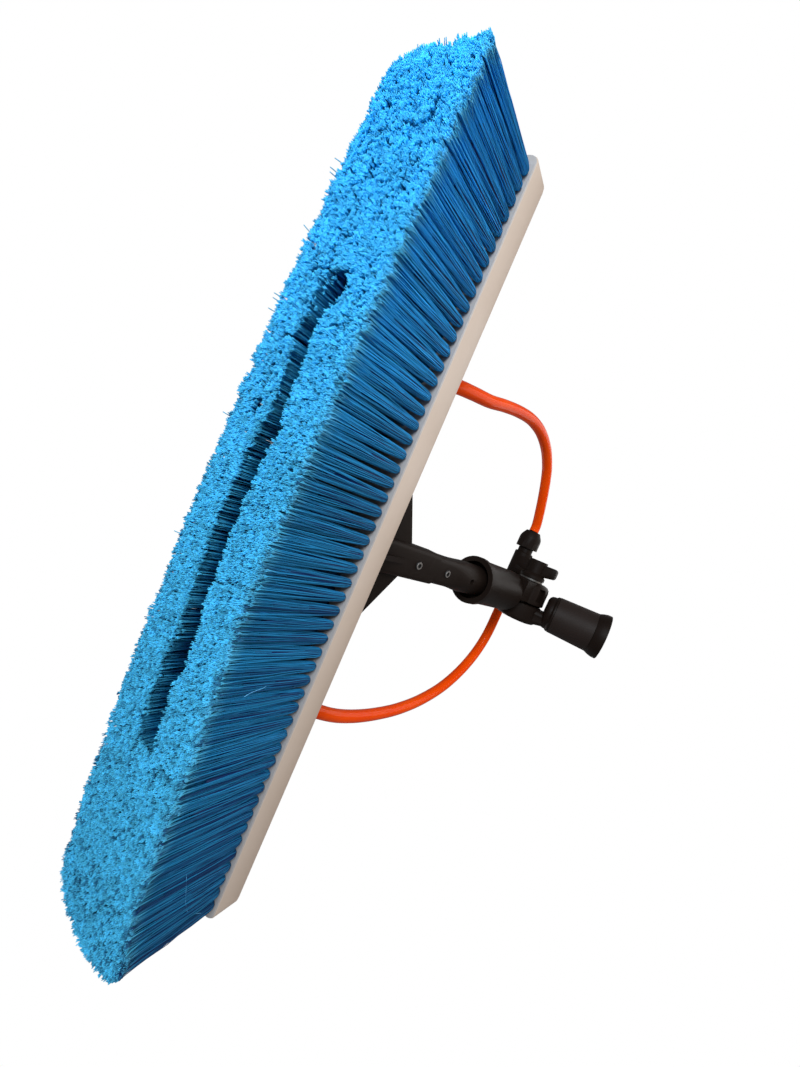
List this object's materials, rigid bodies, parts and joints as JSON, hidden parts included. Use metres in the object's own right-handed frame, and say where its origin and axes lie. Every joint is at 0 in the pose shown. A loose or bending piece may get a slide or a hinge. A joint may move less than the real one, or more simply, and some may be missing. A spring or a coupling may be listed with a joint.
{
  "type": "facade cleaning brush",
  "caption": "Long water-fed wash brush with split bristle trim, white block, finned handle mount, toothed angle joint with wing knob, pole socket and orange hoses to a tee.",
  "frame": {"origin": "under the middle of the outline without the hoses, on the plane of the bristle tips", "axes": "+Z from the bristle tips through the block to the handle, +X along the block to the end that is upper right in the picture, +Y to the side that the handle leans to"},
  "size_m": [0.45, 0.1738, 0.4018],
  "materials": {
    "block_white": "satin",
    "bristle_blue": "satin filaments",
    "moulded_black": "fine moulded texture",
    "grip_black": "soft matte",
    "rivet_aluminium": "bright rolled",
    "zinc_steel": "zinc plated",
    "hose_orange": "smooth translucent",
    "seal_rubber": "matte"
  },
  "bodies": {
    "head": {"brush_block": "block_white", "upper_end_bristles": "bristle_blue", "lower_end_bristles": "bristle_blue", "near_bristles": "bristle_blue", "far_bristles": "bristle_blue", "handle_bracket": "moulded_black", "bracket_screw_1": "zinc_steel", "bracket_screw_2": "zinc_steel", "bracket_screw_3": "zinc_steel", "bracket_screw_4": "zinc_steel", "handle_stub": "moulded_black", "spigot": "moulded_black", "lower_rivet": "rivet_aluminium", "upper_rivet": "rivet_aluminium", "spigot_bush": "moulded_black", "joint_head": "moulded_black", "water_tee": "moulded_black", "upper_hose_nut": "moulded_black", "lower_hose_nut": "moulded_black", "inlet_nut": "moulded_black", "upper_jet": "moulded_black", "lower_jet": "moulded_black", "upper_connector": "moulded_black", "lower_connector": "moulded_black", "upper_seal": "seal_rubber", "lower_seal": "seal_rubber", "upper_connector_nut": "moulded_black", "lower_connector_nut": "moulded_black", "upper_hose": "hose_orange", "lower_hose": "hose_orange"},
    "socket": {"pole_socket": "moulded_black", "socket_grip": "grip_black", "socket_collar": "moulded_black", "joint_bolt": "zinc_steel"},
    "washer": {"knob_washer": "zinc_steel"},
    "knob": {"wing_knob": "moulded_black"}
  },
  "joints": [
    {"name": "socket_tilt", "type": "hinge", "parent": "head", "child": "socket", "pos_m": [0, 0.00548, 0.31208], "axis": [1, 0, 0], "range_deg": [-23.5, 66.5]},
    {"name": "washer_slide", "type": "slide", "parent": "socket", "child": "washer", "axis": [1, 0, 0], "range_m": [0, 0.00124]},
    {"name": "knob_turn", "type": "hinge", "parent": "washer", "child": "knob", "pos_m": [0.0282, 0.00548, 0.31208], "axis": [1, 0, 0], "range_deg": [0, 360]}
  ],
  "couplings": [
    {"joint": "knob_turn", "follows": "washer_slide", "rad_per_m": 5026.5}
  ]
}
